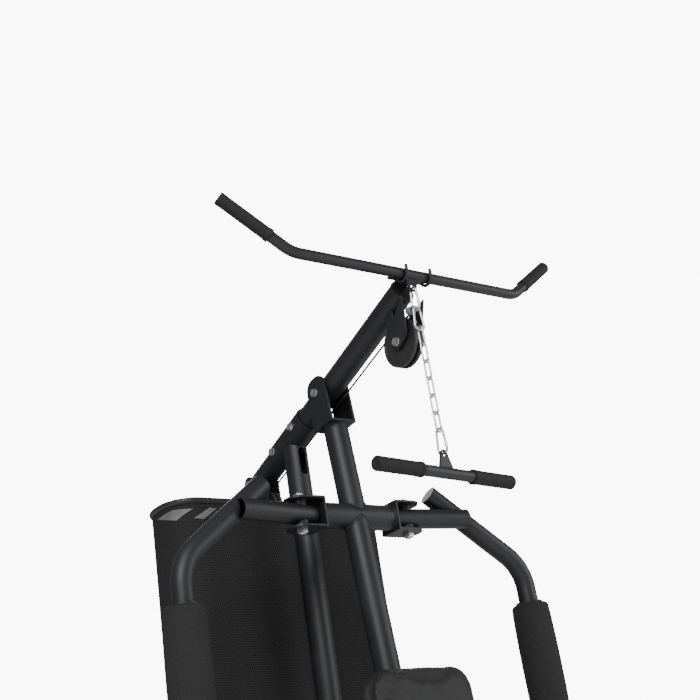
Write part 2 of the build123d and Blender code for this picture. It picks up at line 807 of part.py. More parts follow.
def selector_pin():
    """Pin pushed in from the rear, below the lowest plate that is lifted, with its knob."""
    middle = lifted_low() + plate_size[2] / 2
    back = plate_size[1] / 2
    pin = rod((0, -stem_d / 2 - 1, middle), (0, back + 12, middle), pin_d / 2)
    knob = rod((0, back + 1, middle), (0, back + 34, middle), 15)
    knob = fillet(knob.edges().filter_by(GeomType.CIRCLE), 4)
    return Pos(0, stack_y, 0) * (pin + knob)


def rod_bridge():
    """Flat bar over the guide rods, hung from the boom's tail by two straps."""
    z = above(bridge_z)
    bar = block(-rod_x - 26, rod_x + 26, stack_y - 26, stack_y + 26, z, z + 8)
    inner = post_r + weld_gap
    top = boom_height(stack_y)
    for side in (-1, 1):
        x0, x1 = sorted((side * inner, side * (inner + clevis_plate)))
        strap = block(x0, x1, stack_y - 20, stack_y + 20, z, top + 20)
        bar += fillet(strap.edges().filter_by(Axis.X).sort_by(Axis.Z)[-2:], 18)
        bar -= Pos(side * rod_x, stack_y, z) * Cylinder(rod_d / 2 + slide, 8, align=low)
    bar -= Pos(0, stack_y, z) * Cylinder(12, 8, align=low)
    return bar - rod((-60, stack_y, top), (60, stack_y, top), bolt_d / 2 + slide)


def cover_plan(inset):
    """Rounded rectangle in plan, set in by the given distance."""
    wide, deep = 2 * (cover_half - inset), cover_back - cover_front - 2 * inset
    return Pos(0, (cover_front + cover_back) / 2) * RectangleRounded(wide, deep, cover_corner - inset)


def stack_cover():
    """Wall all round the stack, with an opening at the back for the selector pin."""
    bottom = tray_top() + weld_gap
    outline = cover_plan(0) - cover_plan(cover_wall)
    wall = Pos(0, 0, bottom) * extrude(outline, above(cover_top) - bottom)
    door = block(-cover_door_half, cover_door_half, cover_back - 2 * cover_wall, cover_back + cover_wall,
                 bottom, cover_door_top)
    return wall - fillet(door.edges().filter_by(Axis.Y).group_by(Axis.Z)[-1], 30)


def cover_rim():
    """Round rod all along the cover's upper edge."""
    path = Pos(0, 0, above(cover_top) + rim_r + weld_gap) * cover_plan(cover_wall / 2).face().outer_wire()
    start = Plane(origin=path.position_at(0), z_dir=path.tangent_at(0))
    return sweep(start * Circle(rim_r), path=path)


# seat, backrest and leg lever
def seat_tube():
    """Level tube from the upright to the lever bracket, with the seat's plate on top."""
    front = lever_y + 45
    back = upright_y(seat_tube_z)
    beam = tube((0, front, seat_tube_z), (0, back, seat_tube_z), post_d, tube_wall)
    top = seat_tube_z + post_r
    for y in (seat_front + 90, seat_back - 90):
        beam += block(-90, 90, y - 25, y + 25, seat_z - 5 - weld_gap, seat_z - weld_gap)
        beam += block(-22, 22, y - 25, y + 25, top - 6, seat_z - 5 - weld_gap)
    return beam - upright_cut() - rod((0, front + 3, seat_tube_z), (0, back, seat_tube_z), post_r - tube_wall)


def lever_bracket():
    """Two side plates on the seat tube's front end that hold the lever pin and the upper axle."""
    front = lever_y + 45 - weld_gap
    axle_y, axle_z = upper_axle
    plane = Plane(origin=(0, lever_y, seat_tube_z), x_dir=(0, 1, 0), z_dir=(1, 0, 0))
    end_plate = block(-34, 34, front - 6, front, seat_tube_z - 36, seat_tube_z + 36)
    shape = make_hull([*Circle(20).edges(), *(Pos(42, 0) * Rectangle(6, 60)).edges()])
    neck = make_hull([*Circle(20).edges(),
                      *(Pos(axle_y - lever_y, axle_z - seat_tube_z) * Circle(16)).edges()])
    for x in (-34, 28):
        for outline in (shape, neck):
            end_plate += Pos(x, 0, 0) * (plane * extrude(outline, 6))
    end_plate -= rod((-60, lever_y, seat_tube_z), (60, lever_y, seat_tube_z), hinge_pin_d / 2 + slide)
    return end_plate - rod((-60, axle_y, axle_z), (60, axle_y, axle_z), axle_d / 2 + slide)


def front_post():
    post = tube((0, front_post_y, rail_height), (0, front_post_y, seat_tube_z), post_d, tube_wall)
    post -= rail_cut()
    return post - rod((0, seat_front, seat_tube_z), (0, 0, seat_tube_z), post_r + weld_gap)


def leg_lever():
    """Barrel on the pin, hanging tube and the axle of the lower rollers."""
    foot_z = seat_tube_z - lever_length
    piece = tube((0, lever_y, foot_z - 30), (0, lever_y, seat_tube_z - 14), 40, tube_wall)
    barrel = rod((-27.5, lever_y, seat_tube_z), (27.5, lever_y, seat_tube_z), 17)
    reach = roller_gap + roller_length + 6
    axle = rod((-reach, lever_y, foot_z), (reach, lever_y, foot_z), axle_d / 2)
    piece += barrel + axle
    for side in (-1, 1):
        piece += rod((side * (reach - 4), lever_y, foot_z), (side * reach, lever_y, foot_z), 20)
    return piece - rod((-60, lever_y, seat_tube_z), (60, lever_y, seat_tube_z), hinge_pin_d / 2 + slide)


def upper_roller_axle():
    y, z = upper_axle
    reach = roller_gap + roller_length + 6
    axle = rod((-reach, y, z), (reach, y, z), axle_d / 2)
    for side in (-1, 1):
        axle += rod((side * (reach - 4), y, z), (side * reach, y, z), 20)
    return axle


def rollers(y, z):
    """Two foam rollers that turn together on one axle."""
    pair = []
    for side in (-1, 1):
        x = side * (roller_gap + roller_length / 2 + 2)
        shape = Cylinder(roller_d / 2, roller_length - 1)
        shape = fillet(shape.edges().filter_by(GeomType.CIRCLE), 6)
        shape -= Cylinder(axle_d / 2 + slide, roller_length)
        pair.append(Pos(x, y, z) * Rot(0, 90, 0) * shape)
    return group(pair)


def seat_pad():
    pad = block(-seat_half, seat_half, seat_front, seat_back, seat_z, seat_z + seat_thick)
    pad = fillet(pad.edges().filter_by(Axis.Z), 45)
    return fillet(pad.edges().group_by(Axis.Z)[-1], 14)


def backrest_pad():
    length = back_high - back_low
    middle = (back_high + back_low) / 2 - beam_height
    front = -post_r - back_gap
    pad = block(-back_half, back_half, front - back_thick, front, middle - length / 2, middle + length / 2)
    pad = fillet(pad.edges().filter_by(Axis.Y), 60)
    return lean_frame * fillet(pad.edges().group_by(Axis.Y)[0], 12)


def back_brackets():
    """Two stand-offs with plates that carry the backrest on the upright."""
    pieces = []
    for height in (back_low + 150, back_high - 150):
        z = height - beam_height
        front = -post_r - back_gap + weld_gap
        piece = block(-60, 60, front, front + 5, z - 20, z + 20)
        piece += block(-20, 20, front, 0, z - 20, z + 20)
        pieces.append(lean_frame * (piece - Pos(0, 0, z) * Cylinder(post_r + weld_gap, 60)))
    return group(pieces)


def make_parts():
    return {
        "base_rail": base_rail(),
        "front_foot": foot_tube(-front_reach, front_foot_half),
        "rear_foot": foot_tube(rear_reach, rear_foot_half),
        "rubber_feet": rubber_feet(),
        "tube_caps": tube_caps(),
        "main_upright": main_upright(),
        "crossbeam": crossbeam(),
        "clevis_left": clevis(-1),
        "clevis_right": clevis(1),
        "hinge_bolts": hinge_bolts(),
        "hinge_washers": hinge_washers(),
        "upper_post": upper_post(),
        "boom_saddle": boom_saddle(),
        "rear_post": rear_post(),
        "boom": drilled_sleeved(drilled_boom()),
        "boom_tail": drilled_sleeved(drill(boom_tail(), (0, stack_y, boom_height(stack_y)))),
        "boom_sleeve": drilled_sleeved(boom_sleeve()),
        "boom_bolts": boom_bolts(),
        "hook_plate": hook_plate(),
        "pulley_brackets": pulley_brackets(),
        "pulley_bolts": pulley_bolts(),
        "top_pulley": wheel(wheel_y, wheel_z, wheel_r, wheel_wide, wheel_groove),
        "guide_pulley": wheel(guide_y, guide_z, guide_r, guide_wide, guide_groove),
        "lat_cable": lat_cable(),
        "stack_cable": stack_cable(),
        "cable_end": cable_end(),
        "lat_bar": lat_bar(),
        "lat_bar_grips": lat_bar_grips(),
        "upper_carabiner": upper_carabiner(),
        "chain_carabiners": chain_carabiners(),
        "chain": chain(),
        "short_bar": short_bar(),
        "short_bar_grips": short_bar_grips(),
        "arm_left": arm(-1),
        "arm_right": arm(1),
        "arm_grip_left": arm_grip(-1),
        "arm_grip_right": arm_grip(1),
        "arm_pad_left": arm_pad(-1),
        "arm_pad_right": arm_pad(1),
        "stack_tray": stack_tray(),
        "guide_rods": guide_rods(),
        "stack_bumpers": stack_bumpers(),
        "weight_plates_fixed": weight_plates_fixed(),
        "weight_plates_lifted": weight_plates_lifted(),
        "head_plate": head_plate(),
        "selector_stem": selector_stem(),
        "selector_pin": selector_pin(),
        "rod_bridge": rod_bridge(),
        "stack_cover": stack_cover(),
        "cover_rim": cover_rim(),
        "seat_tube": seat_tube(),
        "lever_bracket": lever_bracket(),
        "front_post": front_post(),
        "leg_lever": leg_lever(),
        "upper_roller_axle": upper_roller_axle(),
        "upper_rollers": rollers(*upper_axle),
        "lower_rollers": rollers(lever_y, seat_tube_z - lever_length),
        "seat_pad": seat_pad(),
        "backrest_pad": backrest_pad(),
        "back_brackets": back_brackets(),
    }


base_middle = (front_reach - rear_reach) / 2
os.makedirs("parts", exist_ok=True)
for name, shape in make_parts().items():
    export_step(Pos(0, base_middle, 0) * shape, f"parts/{name}.step")
    print(name, round(shape.volume / 1000, 1), "cm3")
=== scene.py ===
import bpy
import bmesh
import json
from math import cos, pi, radians, sin
from mathutils import Matrix, Vector


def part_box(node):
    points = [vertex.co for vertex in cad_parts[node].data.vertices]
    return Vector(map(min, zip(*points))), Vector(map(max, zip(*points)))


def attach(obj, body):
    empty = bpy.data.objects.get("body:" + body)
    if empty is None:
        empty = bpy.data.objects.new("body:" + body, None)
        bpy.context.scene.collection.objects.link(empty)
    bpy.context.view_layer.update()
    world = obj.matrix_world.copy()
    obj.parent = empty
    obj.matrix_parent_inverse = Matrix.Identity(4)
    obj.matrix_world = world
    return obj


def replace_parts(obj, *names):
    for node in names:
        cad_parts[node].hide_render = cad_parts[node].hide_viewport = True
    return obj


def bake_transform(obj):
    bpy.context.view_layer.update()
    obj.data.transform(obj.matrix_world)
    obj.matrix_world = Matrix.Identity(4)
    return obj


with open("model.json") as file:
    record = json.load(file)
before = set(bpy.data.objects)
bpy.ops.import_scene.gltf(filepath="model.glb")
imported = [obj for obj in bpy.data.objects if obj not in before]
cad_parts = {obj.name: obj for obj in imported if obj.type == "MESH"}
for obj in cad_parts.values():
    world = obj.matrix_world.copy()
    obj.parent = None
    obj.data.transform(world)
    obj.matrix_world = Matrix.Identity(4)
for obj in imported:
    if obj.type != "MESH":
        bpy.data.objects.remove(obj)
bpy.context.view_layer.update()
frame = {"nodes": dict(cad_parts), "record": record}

nodes = frame["nodes"]
print("model loaded:", len(nodes), "nodes")


# camera
cameraValues = {"place": (-1.654, -2.017, 0.881), "turn": -38.47, "tip": -23.03, "roll": 9.185,
                "lens": 61.45, "shiftX": 0.0007, "shiftY": 0.0014}


def makeCamera(values):
    turn, tip, roll = (radians(values[key]) for key in ("turn", "tip", "roll"))
    back = Vector((sin(turn) * cos(tip), -cos(turn) * cos(tip), sin(tip)))
    right = Vector((cos(turn), sin(turn), 0))
    up = back.cross(right)
    across = cos(roll) * right - sin(roll) * up
    upwards = sin(roll) * right + cos(roll) * up
    data = bpy.data.cameras.new("camera")
    data.sensor_width = 36
    data.lens = values["lens"]
    data.shift_x = values["shiftX"]
    data.shift_y = values["shiftY"]
    data.clip_end = 60
    camera = bpy.data.objects.new("camera", data)
    bpy.context.scene.collection.objects.link(camera)
    axes = Matrix((across, upwards, back)).transposed().to_4x4()
    camera.matrix_world = Matrix.Translation(values["place"]) @ axes
    bpy.context.scene.camera = camera


makeCamera(cameraValues)


# shader helpers
class Wire:
    # one output socket, so that shader maths reads as plain expressions
    def __init__(self, finish, socket):
        self.finish = finish
        self.socket = socket

    def math(self, operation, *values):
        return self.finish.add("ShaderNodeMath", {"operation": operation}, dict(enumerate(values)))

    def __add__(self, other):
        return self.math("ADD", self, other)

    def __sub__(self, other):
        return self.math("SUBTRACT", self, other)

    def __rsub__(self, other):
        return self.math("SUBTRACT", other, self)

    def __mul__(self, other):
        return self.math("MULTIPLY", self, other)

    def __gt__(self, other):
        return self.math("GREATER_THAN", self, other)

    def __pow__(self, other):
        return self.math("POWER", self, other)

    __radd__ = __add__
    __rmul__ = __mul__


class Finish:
    # one material with its principled shader
    def __init__(self, name, **fixed):
        self.material = bpy.data.materials.new(name)
        self.material.use_nodes = True
        self.tree = self.material.node_tree
        self.shader = self.tree.nodes["Principled BSDF"]
        for key, value in fixed.items():
            self.shader.inputs[key.replace("_", " ")].default_value = value
        self.place = self.add("ShaderNodeTexCoord", {}, {}, "Object")

    def add(self, kind, settings, values, out=0):
        node = self.tree.nodes.new(kind)
        for key, value in settings.items():
            if key == "stops":
                for stop, (position, colour) in zip(node.color_ramp.elements, value):
                    stop.position = position
                    stop.color = (*colour, 1)
            else:
                setattr(node, key, value)
        for key, value in values.items():
            if isinstance(value, Wire):
                self.tree.links.new(value.socket, node.inputs[key])
            else:
                node.inputs[key].default_value = value
        return Wire(self, node.outputs[out])

    def noise(self, scale, detail=3.0, roughness=0.5, place=None):
        values = {"Vector": place or self.place, "Scale": scale, "Detail": detail, "Roughness": roughness}
        return self.add("ShaderNodeTexNoise", {}, values, "Fac")

    def cells(self, scale, feature="F1", place=None):
        values = {"Vector": place or self.place, "Scale": scale}
        return self.add("ShaderNodeTexVoronoi", {"feature": feature}, values, "Distance")

    def stretch(self, scale):
        return self.add("ShaderNodeMapping", {}, {"Vector": self.place, "Scale": scale})

    def split(self, vector):
        return [self.add("ShaderNodeSeparateXYZ", {}, {0: vector}, axis) for axis in "XYZ"]

    def span(self, value, low, high, toLow=0.0, toHigh=1.0):
        values = dict(enumerate((value, low, high, toLow, toHigh)))
        return self.add("ShaderNodeMapRange", {}, values)

    def mix(self, factor, first, second):
        return self.add("ShaderNodeMix", {"data_type": "RGBA"}, {0: factor, 6: first, 7: second}, 2)

    def edges(self, radius):
        # 0 on flat and gently curved faces, towards 1 beside a sharp edge
        rounded = self.add("ShaderNodeBevel", {"samples": 4}, {"Radius": radius})
        plain = self.add("ShaderNodeNewGeometry", {}, {}, "Normal")
        dot = {"operation": "DOT_PRODUCT"}
        along = self.add("ShaderNodeVectorMath", dot, {0: rounded, 1: plain}, "Value")
        return self.span(along, 0.995, 0.80), rounded

    def link(self, value, socket):
        self.tree.links.new(value.socket, self.shader.inputs[socket])

    def bump(self, height, strength, distance, normal=None):
        values = {"Height": height, "Strength": strength, "Distance": distance}
        if normal:
            values["Normal"] = normal
        self.link(self.add("ShaderNodeBump", {}, values), "Normal")


# finishes
def powderCoat():
    values = {"dark": (0.0075, 0.0080, 0.0100, 1), "worn": (0.022, 0.0225, 0.026, 1),
              "bare": (0.12, 0.12, 0.125, 1)}
    coat = Finish("powderCoat", Specular_IOR_Level=0.50)
    peel = coat.noise(950, 2.0, 0.6)
    patches = coat.noise(5.5, 5.0, 0.6)
    rubs = coat.noise(46, 6.0, 0.7)
    edge, rounded = coat.edges(0.0024)
    tint = coat.mix(coat.span(patches, 0.35, 0.7, 0, 0.55), values["dark"], values["worn"])
    chips = edge * coat.span(rubs, 0.54, 0.70)
    coat.link(coat.mix(chips * 0.45, tint, values["bare"]), "Base Color")
    coat.link(0.37 + patches * 0.13 + peel * 0.05 + rubs * 0.05, "Roughness")
    coat.bump(peel + 0.35 * rubs, 0.22, 0.0005, rounded)
    return coat.material


def zincPlate():
    values = {"bright": (0.74, 0.75, 0.78, 1), "dull": (0.50, 0.51, 0.53, 1)}
    zinc = Finish("zincPlate", Metallic=1.0)
    cloud = zinc.noise(60, 5.0, 0.6)
    fine = zinc.noise(1400, 2.0)
    edge, rounded = zinc.edges(0.0007)
    zinc.link(zinc.mix(zinc.span(cloud, 0.3, 0.7) * 0.7, values["bright"], values["dull"]), "Base Color")
    zinc.link(0.24 + cloud * 0.16 - edge * 0.08, "Roughness")
    zinc.bump(fine + cloud, 0.18, 0.0002, rounded)
    return zinc.material


def drawnSteel():
    values = {"bright": (0.72, 0.73, 0.75, 1), "dull": (0.52, 0.53, 0.55, 1)}
    steel = Finish("drawnSteel", Metallic=1.0)
    streaks = steel.noise(300, 3.0, 0.6, steel.stretch((1, 1, 0.03)))
    cloud = steel.noise(24, 4.0)
    steel.link(steel.mix(cloud * 0.6, values["bright"], values["dull"]), "Base Color")
    steel.link(0.16 + streaks * 0.16 + cloud * 0.06, "Roughness")
    steel.bump(streaks, 0.1, 0.0002)
    return steel.material


def gripRubber():
    # crossed fine ribs over the grain of moulded rubber
    values = {"low": (0.006, 0.006, 0.0068, 1), "high": (0.022, 0.022, 0.024, 1), "pitch": 1500}
    rubber = Finish("gripRubber", Specular_IOR_Level=0.35)
    x, y, z = rubber.split(rubber.place)
    ribs = ((x + z) * values["pitch"]).math("SINE") * ((x - z) * values["pitch"]).math("SINE")
    lift = rubber.span(ribs, -0.5, 0.7)
    grain = rubber.noise(700, 3.0, 0.65)
    dust = rubber.noise(22, 5.0, 0.6)
    # painted shade: the grooves between the ribs are painted darker than the rib tops, with real dust
    # lightening it at random
    rubber.link(rubber.mix(lift * 0.5 + dust * 0.4, values["low"], values["high"]), "Base Color")
    rubber.link(0.60 + dust * 0.16 + grain * 0.10, "Roughness")
    rubber.bump(lift + grain * 0.8, 0.5, 0.0006)
    return rubber.material


def plainRubber():
    values = {"black": (0.011, 0.011, 0.012, 1), "lighterTone": (0.045, 0.045, 0.046, 1)}
    rubber = Finish("plainRubber", Specular_IOR_Level=0.3)
    grain = rubber.noise(520, 3.0, 0.6)
    dust = rubber.noise(18, 5.0, 0.6)
    edge, rounded = rubber.edges(0.0015)
    # painted highlight: every edge is painted lighter, on top of the real dust
    rubber.link(rubber.mix(dust * 0.5 + edge * 0.3, values["black"], values["lighterTone"]), "Base Color")
    rubber.link(0.62 + dust * 0.2, "Roughness")
    rubber.bump(grain, 0.3, 0.0005, rounded)
    return rubber.material


def mouldedPlastic():
    values = {"black": (0.012, 0.012, 0.013, 1), "rubbedAndEdgeHighlight": (0.05, 0.05, 0.052, 1)}
    plastic = Finish("mouldedPlastic", Specular_IOR_Level=0.45)
    grain = plastic.noise(800, 2.0, 0.55)
    cloud = plastic.noise(14, 4.0)
    edge, rounded = plastic.edges(0.0012)
    # painted highlight: every edge is painted lighter, on top of cloudy rubbing
    plastic.link(plastic.mix(cloud * 0.4 + edge * 0.4, values["black"], values["rubbedAndEdgeHighlight"]), "Base Color")
    plastic.link(0.34 + cloud * 0.14 + grain * 0.06, "Roughness")
    plastic.bump(grain, 0.16, 0.0004, rounded)
    return plastic.material


def turnedNylon():
    # turning marks are rings round the wheel's axle; the rim and groove are polished by the cable, so less
    # rough, and every edge gets a painted highlight in the colour
    values = {"nylon": (0.014, 0.014, 0.0150, 1), "rubbedAndEdgeHighlight": (0.07, 0.07, 0.073, 1)}
    nylon = Finish("turnedNylon", Specular_IOR_Level=0.5)
    edge, rounded = nylon.edges(0.0016)
    cloud = nylon.noise(20, 4.0)
    streak = nylon.noise(190, 4.0, 0.7, nylon.stretch((4.0, 0.6, 0.6)))
    # painted highlight: every edge is painted lighter, on top of cloudy rubbing
    nylon.link(nylon.mix(edge * 0.55 + cloud * 0.3, values["nylon"], values["rubbedAndEdgeHighlight"]), "Base Color")
    nylon.link(0.30 + streak * 0.18 + cloud * 0.06 - edge * 0.10, "Roughness")
    nylon.bump(streak, 0.2, 0.0003, rounded)
    return nylon.material


def closedFoam():
    values = {"poreShade": (0.009, 0.009, 0.0095, 1), "skin": (0.036, 0.036, 0.038, 1)}
    foam = Finish("closedFoam", Specular_IOR_Level=0.25)
    pores = foam.cells(620)
    large = foam.cells(190)
    dust = foam.noise(11, 5.0, 0.6)
    # painted shade: the pores are painted darker than the skin between them, with real dust lightening it
    skin = foam.span(pores, 0.15, 0.6) * 0.5 + dust * 0.35
    foam.link(foam.mix(skin, values["poreShade"], values["skin"]), "Base Color")
    foam.link(0.74 + dust * 0.18, "Roughness")
    foam.bump(pores + large * 0.6, 0.55, 0.0008)
    return foam.material


def grainedVinyl():
    values = {"creaseShade": (0.008, 0.008, 0.0085, 1), "skin": (0.026, 0.026, 0.028, 1)}
    vinyl = Finish("grainedVinyl", Specular_IOR_Level=0.42)
    warp = vinyl.noise(90, 2.0)
    pebbles = vinyl.cells(420, "DISTANCE_TO_EDGE")
    small = vinyl.cells(1100, "DISTANCE_TO_EDGE")
    tops = vinyl.span(pebbles, 0.0, 0.25) * 0.7 + vinyl.span(small, 0.0, 0.3) * 0.3
    soft = vinyl.noise(7, 4.0, 0.6)
    # painted shade: the creases between the pebbles are painted darker than the pebble tops
    vinyl.link(vinyl.mix(tops * 0.7 + soft * 0.3, values["creaseShade"], values["skin"]), "Base Color")
    vinyl.link(0.40 + soft * 0.16 + (1 - tops) * 0.16 + warp * 0.04, "Roughness")
    vinyl.bump(tops, 0.45, 0.0006)
    return vinyl.material


def paintedIron():
    values = {"dark": (0.014, 0.014, 0.015, 1), "faded": (0.034, 0.034, 0.036, 1),
              "bare": (0.19, 0.18, 0.17, 1)}
    iron = Finish("paintedIron", Specular_IOR_Level=0.45)
    cast = iron.noise(260, 5.0, 0.7)
    cloud = iron.noise(9, 4.0)
    edge, rounded = iron.edges(0.0022)
    chips = edge * iron.span(iron.noise(70, 6.0, 0.7), 0.48, 0.6)
    paint = iron.mix(cloud * 0.6, values["dark"], values["faded"])
    iron.link(iron.mix(chips, paint, values["bare"]), "Base Color")
    iron.link(0.42 + cast * 0.2, "Roughness")
    iron.bump(cast, 0.35, 0.0007, rounded)
    return iron.material


def cableSheath():
    values = {"black": (0.006, 0.006, 0.0065, 1), "scuffed": (0.05, 0.05, 0.052, 1)}
    sheath = Finish("cableSheath", Specular_IOR_Level=0.55)
    grain = sheath.noise(420, 3.0)
    scuffs = sheath.noise(60, 5.0, 0.7)
    worn = sheath.span(scuffs, 0.5, 0.75) * 0.6
    sheath.link(sheath.mix(worn, values["black"], values["scuffed"]), "Base Color")
    sheath.link(0.22 + scuffs * 0.2, "Roughness")
    sheath.bump(grain, 0.2, 0.0003)
    return sheath.material


def stopBall():
    values = {"grey": (0.11, 0.11, 0.115, 1), "lighterTone": (0.24, 0.24, 0.245, 1)}
    ball = Finish("stopBall", Specular_IOR_Level=0.4)
    grain = ball.noise(500, 3.0)
    dust = ball.noise(60, 4.0)
    ball.link(ball.mix(dust, values["grey"], values["lighterTone"]), "Base Color")
    ball.link(0.46 + dust * 0.2, "Roughness")
    ball.bump(grain, 0.25, 0.0004)
    return ball.material


def coverMesh():
    # knitted mesh: small round eyes in staggered rows, set out along each wall, each eye painted near black
    # as painted shade of the cover's inside
    values = {"eye": 0.0062, "row": 0.0054, "open": 0.34, "hollow": (0.0022, 0.0022, 0.0024, 1),
              "thread": (0.013, 0.013, 0.0145, 1), "lint": (0.042, 0.042, 0.045, 1)}
    mesh = Finish("coverMesh", Specular_IOR_Level=0.3)
    x, y, z = mesh.split(mesh.place)
    facing = mesh.split(mesh.add("ShaderNodeNewGeometry", {}, {}, "Normal"))
    sideways = facing[0].math("ABSOLUTE", facing[0]) > 0.7071
    along = (x + sideways * (y - x)) * (1 / values["eye"])
    up = z * (1 / values["row"])
    row = up.math("FLOOR", up)
    shifted = along + row.math("MODULO", row, 2.0) * 0.5
    across = shifted.math("FRACT", shifted + 1000.0) - 0.5
    height = up.math("FRACT", up) - 0.5
    reach = (across * across + height * height) ** 0.5
    thread = mesh.span(reach, values["open"] - 0.10, values["open"] + 0.06)
    lint = mesh.noise(9, 5.0, 0.6)
    knit = mesh.noise(900, 2.0, 0.5)
    cloth = mesh.mix(lint * 0.5 + knit * 0.15, values["thread"], values["lint"])
    # painted shade: each eye is painted near black for the shaded inside of the cover seen through it
    mesh.link(mesh.mix(thread, values["hollow"], cloth), "Base Color")
    mesh.link(0.66 + lint * 0.2, "Roughness")
    mesh.bump(thread + knit * 0.2, 0.6, 0.0012)
    return mesh.material


def reflectiveTape():
    values = {"grey": (0.17, 0.17, 0.175, 1), "dirty": (0.075, 0.075, 0.08, 1)}
    tape = Finish("reflectiveTape", Specular_IOR_Level=0.5)
    weave = tape.noise(900, 2.0)
    dirt = tape.noise(30, 5.0, 0.65)
    tape.link(tape.mix(tape.span(dirt, 0.35, 0.8), values["grey"], values["dirty"]), "Base Color")
    tape.link(0.42 + dirt * 0.25, "Roughness")
    tape.bump(weave, 0.2, 0.0003)
    return tape.material


finishes = {"frame_black": powderCoat(), "black_plastic": mouldedPlastic(), "rubber": plainRubber(),
            "grip_rubber": gripRubber(), "foam": closedFoam(), "upholstery": grainedVinyl(),
            "zinc": zincPlate(), "steel_rod": drawnSteel(), "cast_weight": paintedIron(),
            "cable_black": cableSheath(), "pulley_nylon": turnedNylon(), "mesh": coverMesh(),
            "stopBall": stopBall(), "tape": reflectiveTape()}
slotOf = {part["node"]: part["material_slot"] for part in frame["record"]["subparts"]}
for name, thing in nodes.items():
    finish = finishes["stopBall" if name == "cable_end" else slotOf[name]]
    thing.data.materials.clear()
    thing.data.materials.append(finish)
print("finishes made:", len(finishes))


# mesh helpers
def show(name, bm, finish, body=None, smooth=True):
    mesh = bpy.data.meshes.new(name)
    for face in bm.faces:
        face.smooth = smooth
    bm.to_mesh(mesh)
    bm.free()
    mesh.materials.append(finishes[finish])
    piece = bpy.data.objects.new(name, mesh)
    bpy.context.scene.collection.objects.link(piece)
    if body:
        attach(piece, body)
    return piece


def pointsOf(node):
    return [vertex.co.copy() for vertex in nodes[node].data.vertices]


def copyOf(node):
    bm = bmesh.new()
    bm.from_mesh(nodes[node].data)
    bmesh.ops.remove_doubles(bm, verts=bm.verts, dist=0.00002)
    return bm


def lineThrough(points):
    # middle, direction, half length and radius of a long round part, from its points
    middle = sum(points, Vector()) / len(points)
    way = max((point - middle for point in points), key=lambda v: v.length).normalized()
    for turn in range(12):
        way = sum(((point - middle) * (point - middle).dot(way) for point in points), Vector()).normalized()
    reach = [(point - middle).dot(way) for point in points]
    middle = middle + way * (max(reach) + min(reach)) / 2
    radius = max(((point - middle) - way * (point - middle).dot(way)).length for point in points)
    return middle, way, (max(reach) - min(reach)) / 2, radius


def halfOf(node, side):
    # the points of a node on one side of its middle, -1 for the left and 1 for the right
    points = pointsOf(node)
    middle = (max(p.x for p in points) + min(p.x for p in points)) / 2
    return [p for p in points if (p.x - middle) * side > 0]


def turned(profile, middle, way, steps=40):
    # a closed outline of (radius, distance along) spun round the axis through middle
    bm = bmesh.new()
    ring = [bm.verts.new((radius, 0, along)) for radius, along in profile]
    edges = [bm.edges.new(pair) for pair in zip(ring, ring[1:])]
    bmesh.ops.spin(bm, geom=ring + edges, axis=(0, 0, 1), cent=(0, 0, 0), angle=2 * pi, steps=steps,
                   use_merge=True)
    bmesh.ops.remove_doubles(bm, verts=bm.verts, dist=0.00002)
    bmesh.ops.recalc_face_normals(bm, faces=bm.faces)
    turn = way.to_track_quat("Z", "Y").to_matrix().to_4x4()
    bmesh.ops.transform(bm, matrix=Matrix.Translation(middle) @ turn, verts=bm.verts)
    return bm


# rubber grips
gripValues = {"lip": 0.0012, "lipLong": 0.011, "lipEdge": 0.001, "round": 0.0035, "rib": 0.0004, "ribs": 22,
              "barBore": 0.0128, "handleBore": 0.0129}


def makeGrip(name, points, outwards, bore, body, values=gripValues):
    middle, way, half, radius = lineThrough(points)
    if way.dot(outwards) < 0:
        way = -way
    core = radius - values["lip"]
    edge, lipEnd = values["lipEdge"], -half + values["lipLong"]
    profile = [(bore, -half), (radius - edge, -half), (radius, -half + edge), (radius, lipEnd - edge),
               (core, lipEnd)]
    start, end = lipEnd + 0.003, half - values["lipLong"]
    step = (end - start) / values["ribs"]
    high = core + values["rib"]
    for number in range(values["ribs"]):
        at = start + (end - start) * number / values["ribs"]
        profile += [(core, at), (high, at + step * 0.3), (high, at + step * 0.7)]
    cap = core + values["lip"] * 0.5
    profile += [(core, end), (cap, end + edge)]
    for number in range(7):
        turn = pi / 2 * number / 6
        profile.append((cap - values["round"] * (1 - cos(turn)), half - values["round"] * (1 - sin(turn))))
    # the closed end, with a small dimple at its middle
    profile += [(0.003, half), (0.0022, half - edge), (0, half - edge)]
    return show(name, turned(profile, middle, way), "grip_rubber", body)


for side, word in ((-1, "Left"), (1, "Right")):
    outwards, bore = Vector((side, 0, 0)), gripValues["barBore"]
    piece = makeGrip("latGrip" + word, halfOf("lat_bar_grips", side), outwards, bore, "lat_bar")
    if side < 0:
        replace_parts(piece, "lat_bar_grips")
    piece = makeGrip("shortGrip" + word, halfOf("short_bar_grips", side), outwards, bore, "short_bar")
    if side < 0:
        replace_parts(piece, "short_bar_grips")
    points, bore = pointsOf("arm_grip_" + word.lower()), gripValues["handleBore"]
    piece = makeGrip("armGrip" + word, points, Vector((0, -1, 0)), bore, "arm_" + word.lower())
    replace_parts(piece, "arm_grip_" + word.lower())
print("grips made")


# snap hooks: pear-shaped loops of wire with a sprung gate
hookValues = {"wire": 0.003, "broad": 0.0117, "narrow": 0.0082, "gateFrom": 0.30, "gateTo": 0.72,
              "pin": 0.0013, "pinHalf": 0.0042, "nose": 0.0036, "noseHalf": 0.0022}


